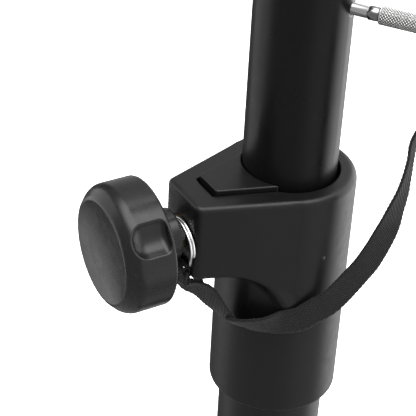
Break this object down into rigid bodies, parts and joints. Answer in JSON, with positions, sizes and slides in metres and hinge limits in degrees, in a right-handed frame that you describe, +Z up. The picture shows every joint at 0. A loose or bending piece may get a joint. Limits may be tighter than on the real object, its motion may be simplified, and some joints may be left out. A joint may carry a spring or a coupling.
{
  "type": "telescopic tripod stand",
  "caption": "Tripod stand with a telescopic pole, a wedge clamp tightened by a round knob, and a locking pin on a webbing tether.",
  "frame": {"origin": "on the floor under the mast's axis", "axes": "+Z up along the mast, -X towards the clamp knob, +X towards leg 1"},
  "size_m": [0.904, 1.0398, 1.3032],
  "materials": {
    "black_tube": "satin black powder coat on steel tube",
    "black_strap_steel": "satin black powder coat on flat steel",
    "black_moulding": "fine-grained black nylon moulding",
    "knob_plastic": "satin charcoal moulded knob",
    "brass": "plain turned brass",
    "black_rubber": "matt rubber",
    "webbing": "black woven nylon webbing",
    "knurled_steel": "bright diamond-knurled steel",
    "ring_steel": "nickel-plated spring wire",
    "zinc_steel": "zinc-plated steel"
  },
  "bodies": {
    "stand": {"lower_tube": "black_tube", "lower_end_cap": "black_rubber", "clamp_housing": "black_moulding", "housing_screw": "zinc_steel", "clamp_nut": "brass", "guide_bush": "black_moulding", "knob_ring": "ring_steel", "tether_strap": "webbing", "base_collar": "black_moulding", "base_set_screw": "zinc_steel", "base_bolts": "zinc_steel", "base_nuts": "zinc_steel"},
    "mast": {"upper_tube": "black_tube", "guide_plug": "black_moulding", "pole_cap": "black_moulding"},
    "pin": {"lock_pin": "zinc_steel", "pin_grip": "knurled_steel", "pin_ring": "ring_steel"},
    "shoe": {"clamp_shoe": "black_moulding"},
    "knob": {"clamp_screw": "zinc_steel", "clamp_knob": "knob_plastic"},
    "hub": {"leg_hub": "black_moulding", "hub_bolts": "zinc_steel", "hub_nuts": "zinc_steel", "hub_insert": "brass"},
    "hub_pad": {"hub_pad": "black_moulding"},
    "hub_knob": {"hub_screw": "zinc_steel", "hub_knob": "knob_plastic"},
    "leg_1": {"leg_tube_1": "black_tube", "leg_plug_1": "black_moulding", "foot_1": "black_rubber"},
    "brace_1": {"brace_1_left": "black_strap_steel", "brace_1_right": "black_strap_steel", "brace_rivets_1": "zinc_steel"},
    "leg_2": {"leg_tube_2": "black_tube", "leg_plug_2": "black_moulding", "foot_2": "black_rubber"},
    "brace_2": {"brace_2_left": "black_strap_steel", "brace_2_right": "black_strap_steel", "brace_rivets_2": "zinc_steel"},
    "leg_3": {"leg_tube_3": "black_tube", "leg_plug_3": "black_moulding", "foot_3": "black_rubber"},
    "brace_3": {"brace_3_left": "black_strap_steel", "brace_3_right": "black_strap_steel", "brace_rivets_3": "zinc_steel"}
  },
  "joints": [
    {"name": "mast_slide", "type": "slide", "parent": "stand", "child": "mast", "axis": [0, 0, 1], "range_m": [-0.06, 0.08], "deforming": ["tether_strap"]},
    {"name": "pin_pull", "type": "slide", "parent": "mast", "child": "pin", "axis": [0.5878, -0.809, 0], "range_m": [0, 0.045]},
    {"name": "clamp_shoe_slide", "type": "slide", "parent": "stand", "child": "shoe", "axis": [-1, 0, 0], "range_m": [0, 0.00125]},
    {"name": "clamp_knob_turn", "type": "hinge", "parent": "shoe", "child": "knob", "pos_m": [-0.06, 0, 0.9143], "axis": [-1, 0, 0], "range_deg": [0, 360]},
    {"name": "tripod_fold", "type": "slide", "parent": "stand", "child": "hub", "axis": [0, 0, 1], "range_m": [0, 0.19914]},
    {"name": "hub_pad_slide", "type": "slide", "parent": "hub", "child": "hub_pad", "axis": [-1, 0, 0], "range_m": [0, 0.00125]},
    {"name": "hub_knob_turn", "type": "hinge", "parent": "hub_pad", "child": "hub_knob", "pos_m": [-0.055, 0, 0.44414], "axis": [-1, 0, 0], "range_deg": [0, 360]},
    {"name": "leg_1_fold", "type": "hinge", "parent": "hub", "child": "leg_1", "pos_m": [0.04, 0, 0.42014], "axis": [0, 1, 0], "range_deg": [0, 49.02]},
    {"name": "brace_1_fold", "type": "hinge", "parent": "stand", "child": "brace_1", "pos_m": [0.04, 0, 0.1], "axis": [0, -1, 0], "range_deg": [0, 49.02]},
    {"name": "leg_2_fold", "type": "hinge", "parent": "hub", "child": "leg_2", "pos_m": [-0.02, 0.03464, 0.42014], "axis": [-0.866, -0.5, 0], "range_deg": [0, 49.02]},
    {"name": "brace_2_fold", "type": "hinge", "parent": "stand", "child": "brace_2", "pos_m": [-0.02, 0.03464, 0.1], "axis": [0.866, 0.5, 0], "range_deg": [0, 49.02]},
    {"name": "leg_3_fold", "type": "hinge", "parent": "hub", "child": "leg_3", "pos_m": [-0.02, -0.03464, 0.42014], "axis": [0.866, -0.5, 0], "range_deg": [0, 49.02]},
    {"name": "brace_3_fold", "type": "hinge", "parent": "stand", "child": "brace_3", "pos_m": [-0.02, -0.03464, 0.1], "axis": [-0.866, 0.5, 0], "range_deg": [0, 49.02]}
  ],
  "couplings": [
    {"joint": "clamp_shoe_slide", "follows": "clamp_knob_turn", "m_per_rad": 0.00019875},
    {"joint": "hub_pad_slide", "follows": "hub_knob_turn", "m_per_rad": 0.00019875},
    {"joint": "leg_1_fold", "follows": "tripod_fold", "rad_per_m": 4.2945},
    {"joint": "brace_1_fold", "follows": "tripod_fold", "rad_per_m": 4.2945},
    {"joint": "leg_2_fold", "follows": "tripod_fold", "rad_per_m": 4.2945},
    {"joint": "brace_2_fold", "follows": "tripod_fold", "rad_per_m": 4.2945},
    {"joint": "leg_3_fold", "follows": "tripod_fold", "rad_per_m": 4.2945},
    {"joint": "brace_3_fold", "follows": "tripod_fold", "rad_per_m": 4.2945}
  ]
}
